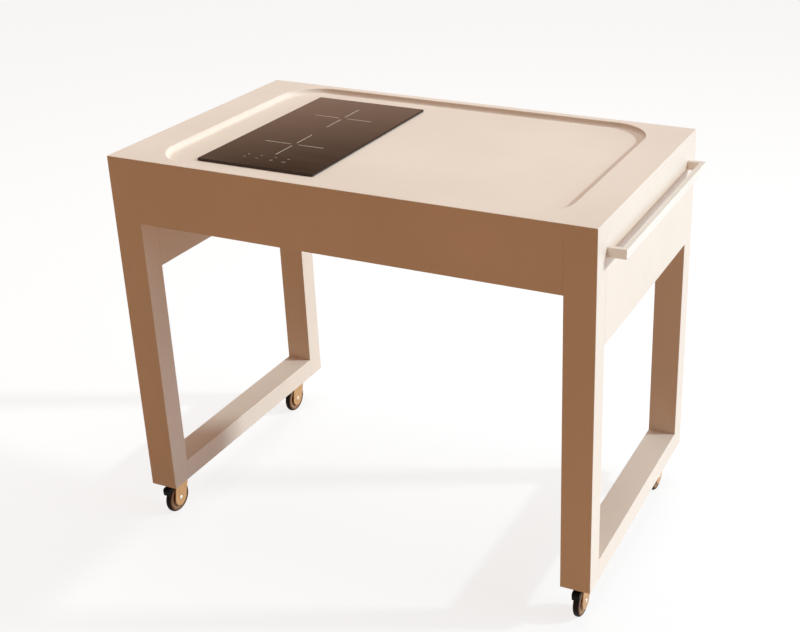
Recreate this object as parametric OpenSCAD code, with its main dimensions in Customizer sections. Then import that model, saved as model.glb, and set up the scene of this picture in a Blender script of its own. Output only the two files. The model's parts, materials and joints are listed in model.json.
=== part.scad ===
// Mobile kitchen island: box-section posts and aprons on four braked castors, under a worktop
// with a shallow coved recess, a two-zone induction hob and a towel rail on the right side.
// Millimetres. X runs along the worktop, +Y is the back, Z is up from the floor.

/* [Frame] */
// Width of the frame
body_w = 1120; // [1060:2:1300]
// Depth of the frame, front to back
body_d = 668; // [640:2:800]
// Height of the frame without its castors
frame_h = 828; // [740:2:900]
// Width of a leg, and of the side aprons and bottom rails between the legs
leg_w = 68; // [62:1:84]
// Depth of a leg, and of the front and rear aprons
leg_d = 52; // [46:1:66]
// Height of the front and rear aprons, worktop edge included
front_apron_h = 148; // [144:1:180]
// Height of the side aprons, worktop edge included
side_apron_h = 266; // [200:2:320]
// Height of the bottom rails
bottom_rail_h = 50; // [40:1:70]
// Thickness of the sheet that the box sections are made of
sheet_t = 12; // [10:0.5:14]
// Solid foot inside each hollow leg
leg_foot = 30; // [20:1:60]
// Hairline between a leg and the piece that meets it
joint_gap = 0.6; // [0.4:0.1:0.9]

/* [Worktop] */
// Thickness of the worktop at its edge
worktop_t = 24; // [20:1:30]
// Chamfer along the worktop's upper edge
edge_chamfer = 1; // [0.5:0.1:2]
// Depth of the recess
recess_depth = 12; // [8:0.5:14]
// Border left and right of the recess
recess_side_border = 88; // [80:1:110]
// Border in front of and behind the recess
recess_end_border = 21; // [16:1:30]
// Corner radius of the recess, seen from above
recess_corner_r = 100; // [60:1:130]
// Radius of the cove between the recess wall and its floor
recess_cove_r = 10; // [5:0.5:12]

/* [Hob] */
// Width of the hob's glass
hob_w = 288; // [284:1:300]
// Depth of the hob's glass
hob_d = 514; // [506:1:530]
// Thickness of the hob's glass
glass_t = 4; // [3:0.5:6]
// Corner radius of the hob's glass
glass_corner_r = 4; // [2:0.5:8]
// Thickness of the foam seal under the glass
seal_t = 1.5; // [1:0.25:3]
// Distance from the recess's left edge to the glass
hob_inset = 88; // [60:1:110]
// How far the glass laps over the cut-out at its left and right
glass_lap_side = 10; // [8:1:12]
// How far the glass laps over the cut-out at its front and rear
glass_lap_end = 12; // [10:1:16]
// Clearance between the hob's tray and the cut-out
tray_gap = 3; // [2:0.5:5]
// Height of the hob's tray
tray_h = 55; // [50:1:62]
// Sheet metal of the tray
tray_wall = 1.2; // [0.8:0.1:2]
// Gap between the two coils
coil_gap = 44; // [34:1:52]
// How much larger the rear coil's radius is than the front coil's
coil_step = 30; // [20:1:38]
// Thickness of a coil with its carrier
coil_t = 12; // [8:0.5:14]
// Aluminium plate that carries the coils
coil_plate_t = 1.5; // [1:0.25:2.5]

/* [Fan] */
// Side of the square fan frame
fan_side = 80; // [70:1:92]
// Height of the fan frame
fan_h = 20; // [18:1:24]
// Number of blades
fan_blades = 7; // [5:1:9]
// Pitch of the blades in degrees
fan_pitch = 38; // [25:1:45]
// Radius of the rotor's shaft
fan_shaft_r = 1.5; // [1:0.25:2.5]

/* [Towel rail] */
// Gap between each leg and the end of the towel rail
rail_gap = 1; // [1:1:80]
// Thickness of the rail's flat bar
rail_t = 12; // [10:0.5:16]
// Height of the rail's flat bar
rail_h = 20; // [16:1:30]
// How far the rail stands out from the side
rail_reach = 40; // [34:1:60]
// Distance from the top of the worktop down to the rail
rail_drop = 57; // [40:1:90]
// Radius of the screws that hold the rail
rail_screw_r = 2.5; // [2:0.25:3]

/* [Base cover] */
// Thickness of the cover under the hob
cover_t = 6; // [4:0.5:9]
// Distance from the front apron's lower edge up to the cover
cover_raise = 8; // [4:1:16]
// Side of the battens that hold the cover
batten = 20; // [16:1:28]
// Screws along each batten
cover_screws_per_side = 5; // [3:1:8]
// Radius of the cable hole through the gland
gland_bore_r = 4.5; // [3:0.25:5.5]
// Radius of the gland's thread
gland_thread_r = 8; // [7.5:0.25:10]

/* [Subframe] */
// Thickness of the bearers under the worktop
bearer_t = 18; // [15:1:24]
// Height of the bearers under the worktop
bearer_h = 60; // [40:1:70]
// Distance from the cut-out to the middle of the nearest bearers
bearer_gap = 31; // [28:1:36]
// Length of a corner brace along each apron
brace_len = 56; // [40:1:60]
// Height of a corner brace
brace_h = 50; // [30:1:60]
// Sheet metal of a corner brace
brace_t = 3; // [2:0.5:4]

/* [Castors] */
// Diameter of a wheel
wheel_d = 75; // [72:1:90]
// Width of a tyre
tyre_w = 16; // [14:0.5:20]
// Thickness of the rubber, rim to tread
tyre_t = 8.5; // [6:0.5:11]
// Horizontal distance from the swivel axis to the axle
trail = 26; // [24:1:29]
// Distance from the frame's end to the swivel axis
castor_inset = 67; // [62:1:76]
// Gap between the wheel and the crown of the fork
crown_gap = 2.5; // [2:0.25:4]
// Sheet metal of the fork
fork_t = 2.5; // [2:0.25:3.5]
// Gap between the tyre and each cheek of the fork
cheek_gap = 1; // [1:0.25:3]
// Radius of the cheeks' round end
cheek_r = 20; // [17:0.5:23]
// Height of the swivel race between crown and plate
race_h = 7; // [5.5:0.5:9]
// Radius of the swivel race
race_r = 20; // [16:0.5:21]
// Radius of the kingpin
kingpin_r = 5; // [4:0.25:6]
// Thickness of the fixing plate
plate_t = 3; // [2:0.25:4]
// Width of the fixing plate
plate_w = 58; // [56:1:60]
// Depth of the fixing plate
plate_d = 80; // [76:1:90]
// Spacing of the plate's screws across its width
plate_hole_x = 44; // [42:1:46]
// Spacing of the plate's screws along its depth
plate_hole_y = 64; // [60:1:66]
// Radius of the castor screws
plate_screw_r = 2.4; // [2:0.1:2.8]
// Length of the castor screws under their heads
plate_screw_len = 14; // [12:1:20]
// Radius of the axle
axle_r = 4; // [3:0.25:5]
// Degrees that the brake pedal travels
pedal_travel = 9; // [5:0.5:10]
// Radius of the brake pedal's pin
pedal_pin_r = 1.5; // [1:0.1:1.7]
// Gap between the pressed pedal and the tyre
brake_gap = 0.5; // [0.3:0.1:1]

/* [Hidden] */
$fn = 96;
run_clear = 0.05;    // shaft in its bearing
pass_clear = 0.3;    // pieces that pass each other
cut = 1;             // how far a cut runs past a face

// Heights
wheel_r = wheel_d / 2;
crown_z = wheel_d + crown_gap;
race_z = crown_z + fork_t;
castor_h = race_z + race_h + plate_t;
top_z = castor_h + frame_h;
under_top_z = top_z - worktop_t;
leg_h = frame_h - worktop_t;
front_apron_z = top_z - front_apron_h;
cover_z = front_apron_z + cover_raise;
cover_top_z = cover_z + cover_t;

// Clear space between the legs
inner_w = body_w - 2 * leg_w;
inner_d = body_d - 2 * leg_d;

// Recess and hob
recess_half_w = body_w / 2 - recess_side_border;
recess_half_d = body_d / 2 - recess_end_border;
cove_r = min(recess_cove_r, recess_depth);
recess_z = top_z - recess_depth;
hob_x = -recess_half_w + hob_inset + hob_w / 2;
cutout_w = hob_w - 2 * glass_lap_side;
cutout_d = hob_d - 2 * glass_lap_end;
glass_z = recess_z + seal_t;
tray_w = cutout_w - 2 * tray_gap;
tray_d = cutout_d - 2 * tray_gap;
tray_z = glass_z - tray_h;
tray_floor_z = tray_z + tray_wall;
coil_z = glass_z - pass_clear - coil_t;
coil_plate_z = coil_z - coil_plate_t;
coil_plate_play = 3;
coil_plate_w = tray_w - 2 * (tray_wall + coil_plate_play);
coil_plate_d = tray_d - 2 * (tray_wall + coil_plate_play);
touch_d = 30;
touch_end_gap = 16.8;
touch_coil_gap = 25;
coil_end_gap = 19.8;
touch_y = -coil_plate_d / 2 + touch_end_gap + touch_d / 2;
coils_front_y = touch_y + touch_d / 2 + touch_coil_gap;
coils_rear_y = coil_plate_d / 2 - coil_end_gap;
front_coil_r = (coils_rear_y - coils_front_y - coil_gap - 2 * coil_step) / 4;
rear_coil_r = front_coil_r + coil_step;
front_coil_y = coils_front_y + front_coil_r;
rear_coil_y = coils_rear_y - rear_coil_r;
coil_eye_r = 12;
coil_rings = 5;
ring_start_r = 16;
ring_gap = 1.5;
coil_carrier_t = 0.4 * coil_t;
lead_hole_r = 9;
seal_inset = 2;
seal_play = 1;
post_r = 4;
post_x = coil_plate_w / 2 - 2 * post_r;
post_y = coil_plate_d / 2 - 2 * post_r;
clamp_y = cutout_d / 2 - 70;
clamp_w = 24;
clamp_h = 20;
clamp_t = 1.5;
clamp_reach = 12;

// Inside the tray
fan_x = -62;
fan_y = -132;
fan_wall = 1.7;
fan_corner_r = 5;
fan_bore_r = fan_side / 2 - fan_wall;
tip_gap = 1;
rotor_r = fan_bore_r - tip_gap;
rotor_hub_r = 14;
spider_t = 2.5;
spider_arm_w = 4;
fan_boss_r = 3 * fan_shaft_r;
fan_boss_h = 6;
rotor_z = fan_boss_h + 0.5;
rotor_h = fan_h - rotor_z - tip_gap;
blade_t = 1.4;
vent_slots = 6;
vent_slot_w = 6;
rear_vents = 9;
rear_vent_w = 10;
rear_vent_h = 20;
rear_vent_lift = 12;
board_w = 216;
board_d = 170;
board_t = 1.6;
board_y = 52;
board_lift = 7;
board_post_x = board_w / 2 - 8;
board_post_y = board_d / 2 - 8;
sink_w = 120;
sink_d = 60;
sink_h = 24;
sink_base_t = 4;
sink_fins = 11;
fin_t = 2;
sink_at = [20, -30];
capacitor_r = 11;
capacitor_h = 22;
CAPACITORS_AT = [[-60, 50], [-30, 50]];
terminal_w = 60;
terminal_d = 26;
terminal_h = 18;
terminal_pitch = 18;
terminal_pocket = 12;
terminal_floor = 8;
terminal_y = tray_d / 2 - 36;
touch_w = 150;
touch_key_r = 6;
touch_key_h = coil_t;
touch_base_t = 9;
TOUCH_KEYS_X = [-56, -24, 12, 44];

// Towel rail
rail_len = inner_d - 2 * rail_gap;
rail_z = top_z - rail_drop - rail_h;
rail_post_y = rail_len / 2 - rail_t / 2;
rail_screw_z = rail_z + rail_h / 2;
rail_screw_depth = 18;
rail_screw_len = sheet_t + rail_screw_depth - 2;
screw_head_t = 2;

// Cover, battens, bearers
cover_w = inner_w - 2 * pass_clear;
cover_d = inner_d - 2 * pass_clear;
cover_screw_r = 1.9;
cover_screw_len = cover_t + 14;
cover_screw_y = inner_d / 2 - batten / 2;
cover_screw_span = inner_w - 80;
COVER_SCREWS_X = [for (i = [0:cover_screws_per_side - 1])
    (i / (cover_screws_per_side - 1) - 0.5) * cover_screw_span];
gland_x = hob_x - 70;
gland_y = inner_d / 2 - 62;
gland_drop = 18;
gland_nut_t = 5;
gland_nut_r = gland_thread_r + 4;
gland_hex_t = 6;
gland_dome_taper = 3;
gland_thread_len = cover_t + gland_nut_t + 4;
BEARERS_X = [
    hob_x - cutout_w / 2 - bearer_gap,
    hob_x + cutout_w / 2 + bearer_gap,
    (hob_x + cutout_w / 2 + bearer_gap + inner_w / 2) / 2
];

// Castor, about the swivel axis, with the wheel towards -Y
cheek_in = tyre_w / 2 + cheek_gap;
cheek_out = cheek_in + fork_t;
axle_head_t = 2;
axle_head_r = axle_r + 1;
hub_r = axle_r + 5;
rim_r = wheel_r - tyre_t;
rim_t = 4;
web_t = 6;
shoulder_r = 0.9 * min(tyre_t, tyre_w / 2);
cheek_front = -trail - 13;
cheek_rear = 8;
barrel_r = pedal_pin_r + 1.3;
pin_angle = 13.5;
pedal_pin = on_wheel(wheel_r + brake_gap + run_clear + barrel_r, pin_angle);
crown_front = pedal_pin[0] + barrel_r + 0.7;
kingpin_head_r = kingpin_r + 3;
kingpin_head_t = 2;
race_chamfer = 3;
plate_corner_r = 5;
// The pedal's outline from its tip round to the pin: millimetres beyond the tread, degrees
PEDAL_OUTLINE = [[16.5, 42], [14, 47.5], [9, 53], [5, 59], [4, 65], [-3, 62], [-3, pin_angle]];
PEDAL_POINTS = [for (p = PEDAL_OUTLINE) on_wheel(wheel_r + p[0], p[1])];
swivel_x = body_w / 2 - leg_w / 2;
swivel_y = body_d / 2 - castor_inset;
CORNERS = [["front_left", -1, -1], ["front_right", 1, -1], ["rear_left", -1, 1], ["rear_right", 1, 1]];

// The part's origin is under the middle of its bounding box
front_reach = max(body_d / 2, swivel_y - min([for (p = PEDAL_POINTS) p[0]]));
mid_x = rail_reach / 2;
mid_y = (body_d / 2 - front_reach) / 2;

CASTOR_PIECES = ["plate", "fork", "axle", "wheel", "tyre", "pedal"];

// A point in the wheel's plane, [y, z], at a radius from the axle and an angle forward of upright
function on_wheel(r, angle) = [-trail - r * sin(angle), wheel_r + r * cos(angle)];

// The point where a line from p touches a circle about c, on the side that turn picks
function tangent_point(p, c, r, turn) =
    let (d = norm(p - c), a = atan2(p[1] - c[1], p[0] - c[0]), b = turn * acos(r / d))
    c + r * [cos(a + b), sin(a + b)];

module placed() translate([-mid_x, -mid_y, 0]) children();

// A block centred on X and Y that stands on z = 0
module block(w, d, h) translate([-w / 2, -d / 2, 0]) cube([w, d, h]);

// A block with round vertical corners
module soft_block(w, d, h, r) {
    block(w - 2 * r, d, h);
    block(w, d - 2 * r, h);
    for (x = [-1, 1], y = [-1, 1])
        translate([x * (w / 2 - r), y * (d / 2 - r), 0]) cylinder(h = h, r = r);
}

// A profile in X and Z, pulled along Y about the middle
module along_y(len) rotate([90, 0, 0]) linear_extrude(len, center = true) children();

// A profile in Y and Z, pulled along X about the middle
module along_x(len) rotate([90, 0, 90]) linear_extrude(len, center = true) children();

// A box section's profile: closed all round, or open at the top under the worktop
module section(w, h, open_top) difference() {
    translate([-w / 2, 0]) square([w, h]);
    translate([sheet_t - w / 2, sheet_t]) square([w - 2 * sheet_t, open_top ? h : h - 2 * sheet_t]);
}

// ---- Worktop ----

module edge_profile(half) polygon([
    [-half, -worktop_t], [half, -worktop_t], [half, -edge_chamfer],
    [half - edge_chamfer, 0], [-half + edge_chamfer, 0], [-half, -edge_chamfer]
]);

// The recess's wall from the corner's centre out: upright above, coved into the floor below
module recess_profile() {
    translate([0, -recess_depth]) square([recess_corner_r - cove_r, recess_depth + cut]);
    translate([0, cove_r - recess_depth])
        square([recess_corner_r, recess_depth - cove_r + cut]);
    translate([recess_corner_r - cove_r, cove_r - recess_depth]) circle(cove_r);
}

module recess() {
    straight_x = recess_half_w - recess_corner_r;
    straight_y = recess_half_d - recess_corner_r;
    translate([0, 0, -recess_depth]) block(2 * straight_x, 2 * straight_y, recess_depth + cut);
    for (side = [0, 1]) {
        mirror([side, 0, 0]) translate([straight_x, 0, 0]) along_y(2 * straight_y) recess_profile();
        mirror([0, side, 0]) translate([0, straight_y, 0]) along_x(2 * straight_x) recess_profile();
    }
    for (turn = [0:3])
        translate([(turn == 0 || turn == 3 ? 1 : -1) * straight_x, (turn < 2 ? 1 : -1) * straight_y, 0])
            rotate([0, 0, 90 * turn]) rotate_extrude(angle = 90) recess_profile();
}

module worktop() color("#dccbb8") difference() {
    translate([0, 0, top_z]) intersection() {
        along_y(body_d) edge_profile(body_w / 2);
        along_x(body_w) edge_profile(body_d / 2);
    }
    translate([0, 0, top_z]) recess();
    translate([hob_x, 0, under_top_z - cut]) block(cutout_w, cutout_d, worktop_t);
}

// ---- Frame ----

// Front apron with side = -1, rear apron with side = 1
module cross_apron(side) color("#dccbb8")
    translate([0, side * (body_d - leg_d) / 2, front_apron_z])
        along_x(inner_w - 2 * joint_gap) section(leg_d, front_apron_h - worktop_t, true);

module side_apron(side) color("#dccbb8")
    translate([side * swivel_x, 0, top_z - side_apron_h])
        along_y(inner_d - 2 * joint_gap) section(leg_w, side_apron_h - worktop_t, true);

module right_apron() color("#dccbb8") difference() {
    side_apron(1);
    for (side = [-1, 1])
        translate([body_w / 2 - sheet_t - cut, side * rail_post_y, rail_screw_z])
            rotate([0, 90, 0]) cylinder(h = sheet_t + 2 * cut, r = rail_screw_r + run_clear);
}

// Pilot holes up into the frame for one castor
module castor_pilots(x, y) for (sx = [-1, 1], sy = [-1, 1])
    translate([x * swivel_x + sx * plate_hole_x / 2, y * swivel_y + sy * plate_hole_y / 2, castor_h - cut])
        cylinder(h = plate_screw_len + cut, r = plate_screw_r + run_clear);

module bottom_rail(side) color("#dccbb8") difference() {
    translate([side * swivel_x, 0, castor_h])
        along_y(inner_d - 2 * joint_gap) section(leg_w, bottom_rail_h, false);
    for (end = [-1, 1]) castor_pilots(side, end);
}

module leg(corner) color("#dccbb8") difference() {
    translate([corner[1] * swivel_x, corner[2] * (body_d - leg_d) / 2, castor_h]) difference() {
        block(leg_w, leg_d, leg_h);
        translate([0, 0, leg_foot]) block(leg_w - 2 * sheet_t, leg_d - 2 * sheet_t, leg_h);
    }
    castor_pilots(corner[1], corner[2]);
}

// A steel angle with a gusset in each upper corner between the aprons
module corner_braces() color("silver") for (x = [0, 1], y = [0, 1])
    mirror([x, 0, 0]) mirror([0, y, 0])
        translate([-inner_w / 2, -inner_d / 2, under_top_z - brace_h]) {
            cube([brace_len, brace_t, brace_h]);
            cube([brace_t, brace_len, brace_h]);
            translate([0, 0, brace_h - brace_t]) linear_extrude(brace_t)
                polygon([[0, 0], [brace_len, 0], [brace_len, brace_t], [brace_t, brace_len], [0, brace_len]]);
        }

module bearer(i) color("burlywood")
    translate([BEARERS_X[i], 0, under_top_z - bearer_h]) block(bearer_t, inner_d, bearer_h);

module cover_batten(side) color("burlywood") difference() {
    translate([0, side * cover_screw_y, cover_top_z]) block(inner_w, batten, batten);
    cover_screw_holes(cover_screw_r + run_clear);
}

module cover_screw_holes(r) for (x = COVER_SCREWS_X, side = [-1, 1])
    translate([x, side * cover_screw_y, cover_z - cut]) cylinder(h = cover_screw_len + 2 * cut, r = r);

module cover_screws() color("silver") for (x = COVER_SCREWS_X, side = [-1, 1])
    translate([x, side * cover_screw_y, cover_z]) {
        translate([0, 0, -screw_head_t]) cylinder(h = screw_head_t, r = 2 * cover_screw_r);
        cylinder(h = cover_screw_len, r = cover_screw_r);
    }

// A square field of slots about the fan
module vents(z, h) translate([hob_x + fan_x, fan_y, z]) for (i = [0:vent_slots - 1])
    translate([0, (i - (vent_slots - 1) / 2) * 2 * vent_slot_w, 0])
        block(fan_side - 2 * vent_slot_w, vent_slot_w, h);

module base_cover() color("#c9bba9") difference() {
    translate([0, 0, cover_z]) block(cover_w, cover_d, cover_t);
    cover_screw_holes(cover_screw_r + run_clear);
    vents(cover_z - cut, cover_t + 2 * cut);
    translate([gland_x, gland_y, cover_z - cut])
        cylinder(h = cover_t + 2 * cut, r = gland_thread_r + run_clear);
}

// Compression gland with its locknut above the cover
module cable_gland() color("dimgray") {
    translate([gland_x, gland_y, cover_z]) difference() {
        union() {
            translate([0, 0, -gland_drop])
                cylinder(h = gland_drop - gland_hex_t, r1 = gland_nut_r - gland_dome_taper, r2 = gland_nut_r);
            translate([0, 0, -gland_hex_t]) cylinder(h = gland_hex_t, r = gland_nut_r, $fn = 6);
            cylinder(h = gland_thread_len, r = gland_thread_r);
        }
        translate([0, 0, -gland_drop - cut])
            cylinder(h = gland_drop + gland_thread_len + 2 * cut, r = gland_bore_r);
    }
    translate([gland_x, gland_y, cover_top_z]) difference() {
        cylinder(h = gland_nut_t, r = gland_nut_r, $fn = 6);
        translate([0, 0, -cut]) cylinder(h = gland_nut_t + 2 * cut, r = gland_thread_r + run_clear);
    }
}

// ---- Hob ----

module hob_glass() color("#1c1512")
    translate([hob_x, 0, glass_z]) soft_block(hob_w, hob_d, glass_t, glass_corner_r);

module hob_seal() color("#2a2a2a") translate([hob_x, 0, recess_z]) difference() {
    block(hob_w - 2 * seal_inset, hob_d - 2 * seal_inset, seal_t);
    translate([0, 0, -cut]) block(cutout_w + 2 * seal_play, cutout_d + 2 * seal_play, seal_t + 2 * cut);
}

module hob_tray() color("lightgray") {
    difference() {
        translate([hob_x, 0, tray_z]) block(tray_w, tray_d, tray_h);
        translate([hob_x, 0, tray_floor_z])
            block(tray_w - 2 * tray_wall, tray_d - 2 * tray_wall, tray_h);
        vents(tray_z - cut, tray_wall + 2 * cut);
        for (i = [0:rear_vents - 1])
            translate([hob_x + (i - (rear_vents - 1) / 2) * 2 * rear_vent_w, tray_d / 2,
                       tray_floor_z + rear_vent_lift])
                block(rear_vent_w, 4 * tray_wall, rear_vent_h);
    }
    for (x = [-1, 1], y = [-1, 1]) {
        translate([hob_x + x * post_x, y * post_y, tray_floor_z])
            cylinder(h = coil_plate_z - tray_floor_z, r = post_r);
        translate([hob_x + x * board_post_x, board_y + y * board_post_y, tray_floor_z])
            cylinder(h = board_lift, r = post_r);
    }
}

// Spring clips on the tray that pull it down against the worktop's underside
module hob_clamps() color("silver") for (x = [-1, 1], y = [-1, 1])
    translate([hob_x + x * (tray_w / 2), y * clamp_y, under_top_z]) {
        translate([x * clamp_t / 2, 0, -clamp_h]) block(clamp_t, clamp_w, clamp_h);
        translate([x * (tray_gap + clamp_reach) / 2, 0, -clamp_t])
            block(tray_gap + clamp_reach, clamp_w, clamp_t);
    }

module coil_plate() color("gainsboro") translate([hob_x, 0, coil_plate_z]) difference() {
    block(coil_plate_w, coil_plate_d, coil_plate_t);
    for (y = [front_coil_y, rear_coil_y])
        translate([0, y, -cut]) cylinder(h = coil_plate_t + 2 * cut, r = lead_hole_r);
}

// Wound coil: a carrier disc with raised rings of winding round an open middle
module coil(r) {
    step = (r - ring_start_r) / coil_rings;
    rotate_extrude() {
        translate([coil_eye_r, 0]) square([r - coil_eye_r, coil_carrier_t]);
        for (i = [0:coil_rings - 1])
            translate([ring_start_r + i * step, 0]) square([step - ring_gap, coil_t]);
    }
}

module coil_front() color("peru") translate([hob_x, front_coil_y, coil_z]) coil(front_coil_r);

module coil_rear() color("peru") translate([hob_x, rear_coil_y, coil_z]) coil(rear_coil_r);

// Circuit board with its finned heat sink and two capacitors
module power_board() color("darkgreen")
    translate([hob_x, board_y, tray_floor_z + board_lift]) {
        block(board_w, board_d, board_t);
        translate([sink_at[0], sink_at[1], board_t]) {
            block(sink_w, sink_d, sink_base_t);
            for (i = [0:sink_fins - 1]) translate([(i / (sink_fins - 1) - 0.5) * (sink_w - fin_t), 0, 0])
                block(fin_t, sink_d, sink_h);
        }
        for (at = CAPACITORS_AT)
            translate([at[0], at[1], board_t]) cylinder(h = capacitor_h, r = capacitor_r);
    }

module terminal_block() color("ivory")
    translate([gland_x, terminal_y, tray_floor_z]) difference() {
        block(terminal_w, terminal_d, terminal_h);
        for (i = [-1:1]) translate([i * terminal_pitch, 0, terminal_floor])
            block(terminal_pocket, terminal_pocket, terminal_h);
    }

// Touch sensors on their carrier, under the front of the glass
module touch_board() color("seagreen")
    translate([hob_x, touch_y, coil_z]) {
        block(touch_w, touch_d, touch_base_t);
        for (x = TOUCH_KEYS_X) translate([x, 0, 0]) cylinder(h = touch_key_h, r = touch_key_r);
    }

module fan_housing() color("#303030")
    translate([hob_x + fan_x, fan_y, tray_floor_z]) {
        difference() {
            soft_block(fan_side, fan_side, fan_h, fan_corner_r);
            translate([0, 0, -cut]) cylinder(h = fan_h + 2 * cut, r = fan_bore_r);
        }
        difference() {
            union() {
                cylinder(h = spider_t, r = rotor_hub_r);
                cylinder(h = fan_boss_h, r = fan_boss_r);
                for (turn = [45, 165, 285]) rotate([0, 0, turn])
                    translate([0, -spider_arm_w / 2, 0])
                        cube([fan_bore_r + fan_wall / 2, spider_arm_w, spider_t]);
            }
            translate([0, 0, spider_t / 2]) cylinder(h = fan_h, r = fan_shaft_r + run_clear);
        }
    }

module fan_rotor() color("#454545")
    translate([hob_x + fan_x, fan_y, tray_floor_z]) {
        translate([0, 0, rotor_z]) cylinder(h = rotor_h, r = rotor_hub_r);
        translate([0, 0, spider_t / 2 + pass_clear])
            cylinder(h = rotor_z - spider_t / 2, r = fan_shaft_r);
        intersection() {
            translate([0, 0, rotor_z]) difference() {
                cylinder(h = rotor_h, r = rotor_r);
                translate([0, 0, -cut]) cylinder(h = rotor_h + 2 * cut, r = rotor_hub_r - 1);
            }
            for (i = [0:fan_blades - 1]) rotate([0, 0, 360 * i / fan_blades])
                translate([0, 0, rotor_z + rotor_h / 2]) rotate([fan_pitch, 0, 0])
                    translate([rotor_hub_r - 2, -fan_side / 4, -blade_t / 2])
                        cube([rotor_r, fan_side / 2, blade_t]);
        }
    }

// ---- Towel rail ----

module towel_rail() color("#e6dccf") difference() {
    translate([body_w / 2, 0, rail_z]) {
        translate([rail_reach - rail_t / 2, 0, 0]) block(rail_t, rail_len, rail_h);
        for (side = [-1, 1]) translate([rail_reach / 2, side * rail_post_y, 0])
            block(rail_reach, rail_t, rail_h);
    }
    for (side = [-1, 1]) translate([body_w / 2 - cut, side * rail_post_y, rail_screw_z])
        rotate([0, 90, 0]) cylinder(h = rail_screw_depth + cut, r = rail_screw_r + run_clear);
}

module rail_screws() color("silver") for (side = [-1, 1])
    translate([body_w / 2 - sheet_t, side * rail_post_y, rail_screw_z]) rotate([0, 90, 0]) {
        translate([0, 0, -screw_head_t]) cylinder(h = screw_head_t, r = 1.8 * rail_screw_r);
        cylinder(h = rail_screw_len, r = rail_screw_r);
    }

// ---- Castors ----

module at_castor(corner) translate([corner[1] * swivel_x, corner[2] * swivel_y, 0]) children();

module across_x(len, r) rotate([0, 90, 0]) cylinder(h = len, r = r, center = true);

// Fixing plate with the upper swivel race and the riveted kingpin
module plate(corner) color("#c49a62") at_castor(corner) {
    difference() {
        translate([0, 0, castor_h - plate_t]) soft_block(plate_w, plate_d, plate_t, plate_corner_r);
        for (x = [-1, 1], y = [-1, 1])
            translate([x * plate_hole_x / 2, y * plate_hole_y / 2, castor_h - plate_t - cut])
                cylinder(h = plate_t + 2 * cut, r = plate_screw_r + pass_clear);
    }
    rotate_extrude() polygon([
        [0, race_z + pass_clear], [race_r - race_chamfer, race_z + pass_clear],
        [race_r, race_z + race_chamfer], [race_r - race_chamfer / 2, castor_h - plate_t],
        [0, castor_h - plate_t]
    ]);
    translate([0, 0, crown_z - pass_clear]) cylinder(h = race_z - crown_z + 2 * pass_clear, r = kingpin_r);
    translate([0, 0, crown_z - pass_clear - kingpin_head_t])
        cylinder(h = kingpin_head_t, r = kingpin_head_r);
}

module castor_screws() color("silver") for (corner = CORNERS) at_castor(corner)
    for (x = [-1, 1], y = [-1, 1])
        translate([x * plate_hole_x / 2, y * plate_hole_y / 2, castor_h - plate_t]) {
            translate([0, 0, -screw_head_t]) cylinder(h = screw_head_t, r = 1.9 * plate_screw_r);
            cylinder(h = plate_screw_len, r = plate_screw_r);
        }

// One cheek of the fork: a round end about the axle, drawn up by tangents to the crown
module cheek_profile() {
    axle_at = [-trail, wheel_r];
    front = [cheek_front, race_z];
    rear = [cheek_rear, race_z];
    polygon([
        front, tangent_point(front, axle_at, cheek_r, 1), axle_at,
        tangent_point(rear, axle_at, cheek_r, -1), rear
    ]);
    translate(axle_at) circle(cheek_r);
}

module fork(corner) color("#c49a62") at_castor(corner) {
    difference() {
        union() {
            for (side = [-1, 1]) translate([side * (cheek_in + cheek_out) / 2, 0, 0])
                along_x(fork_t) cheek_profile();
            translate([0, 0, crown_z]) {
                cylinder(h = fork_t, r = race_r);
                translate([-cheek_out, crown_front, 0])
                    cube([2 * cheek_out, cheek_rear - crown_front, fork_t]);
            }
        }
        translate([0, 0, crown_z - cut]) cylinder(h = fork_t + 2 * cut, r = kingpin_r + run_clear);
        translate([0, -trail, wheel_r]) across_x(2 * cheek_out + 2 * cut, axle_r);
    }
    translate([0, pedal_pin[0], pedal_pin[1]]) across_x(2 * cheek_out, pedal_pin_r);
}

module axle(corner) color("#e8d8c0") at_castor(corner) translate([0, -trail, wheel_r]) {
    across_x(2 * cheek_out, axle_r);
    for (side = [-1, 1]) translate([side * (cheek_out + axle_head_t / 2), 0, 0])
        across_x(axle_head_t, axle_head_r);
}

// Wheel centre: hub, web and rim
module wheel(corner) color("#5a4a40") at_castor(corner) translate([0, -trail, wheel_r])
    rotate([0, 90, 0]) rotate_extrude() {
        translate([axle_r + run_clear, -cheek_in + pass_clear])
            square([hub_r - axle_r - run_clear, 2 * cheek_in - 2 * pass_clear]);
        translate([axle_r + run_clear, -web_t / 2]) square([rim_r - axle_r - run_clear, web_t]);
        translate([rim_r - rim_t, cut - tyre_w / 2]) square([rim_t, tyre_w - 2 * cut]);
    }

module tyre(corner) color("#2b2320") at_castor(corner) translate([0, -trail, wheel_r])
    rotate([0, 90, 0]) rotate_extrude() intersection() {
        translate([rim_r, -tyre_w / 2]) square([tyre_t, tyre_w]);
        union() {
            translate([rim_r, -tyre_w / 2]) square([tyre_t - shoulder_r, tyre_w]);
            translate([rim_r, shoulder_r - tyre_w / 2]) square([tyre_t, tyre_w - 2 * shoulder_r]);
            for (side = [-1, 1])
                translate([wheel_r - shoulder_r, side * (tyre_w / 2 - shoulder_r)]) circle(shoulder_r);
        }
    }

// The wheel as the pedal meets it: at rest, and with the pedal pressed
module tyre_clearance() {
    translate([-trail, wheel_r]) circle(wheel_r + brake_gap);
    translate(pedal_pin) rotate(-pedal_travel) translate([-trail, wheel_r] - pedal_pin)
        circle(wheel_r + brake_gap);
}

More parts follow.
